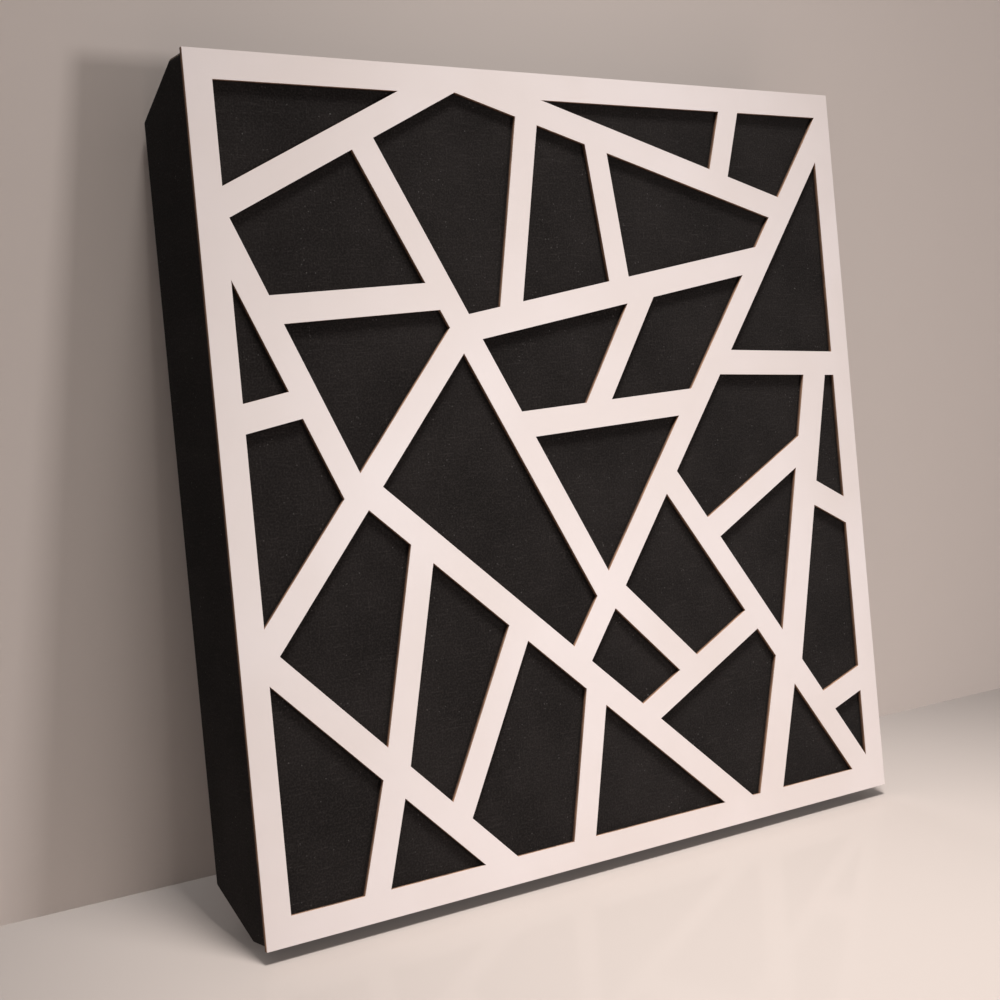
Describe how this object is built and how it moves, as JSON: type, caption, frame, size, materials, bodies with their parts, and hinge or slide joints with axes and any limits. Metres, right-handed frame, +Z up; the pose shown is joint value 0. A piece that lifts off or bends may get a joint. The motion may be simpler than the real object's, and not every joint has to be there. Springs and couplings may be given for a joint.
{
  "type": "acoustic diffuser panel",
  "caption": "Square wall-hung acoustic diffuser panel: a white crackle-pattern lattice board on a cloth-covered absorber box with bevelled rear corners.",
  "frame": {"origin": "middle of the base: centred across the width and the whole depth, at the lattice's bottom edge", "axes": "+Z up, the lattice faces -Y, and +Y points to the wall that the panel hangs on"},
  "size_m": [0.6, 0.0786, 0.6],
  "materials": {
    "white_board": "white satin-faced fibreboard with toasted brown cut edges",
    "mounting_tape": "black double-sided tape",
    "black_cloth": "black plain-woven acoustic cloth, matt",
    "timber": "planed softwood",
    "mineral_wool": "pressed mineral wool",
    "scrim": "black non-woven scrim, matt",
    "steel_wire": "galvanised wire",
    "plated_steel": "zinc plated",
    "bumper_rubber": "matt moulded rubber"
  },
  "bodies": {
    "root": {"lattice_panel": "white_board", "tape_top": "mounting_tape", "tape_bottom": "mounting_tape", "tape_left": "mounting_tape", "tape_right": "mounting_tape", "fabric_cover": "black_cloth", "side_board_left": "timber", "side_board_right": "timber", "front_rail_top": "timber", "front_rail_bottom": "timber", "rear_rail_top": "timber", "rear_rail_bottom": "timber", "centre_batten": "timber", "absorber_slab": "mineral_wool", "rear_scrim": "scrim", "scrim_staples": "steel_wire", "hanger_plate_left": "plated_steel", "hanger_plate_right": "plated_steel", "hanger_screws": "plated_steel", "frame_screws": "plated_steel", "bumper_top_left": "bumper_rubber", "bumper_top_right": "bumper_rubber", "bumper_bottom_left": "bumper_rubber", "bumper_bottom_right": "bumper_rubber"}
  },
  "joints": []
}
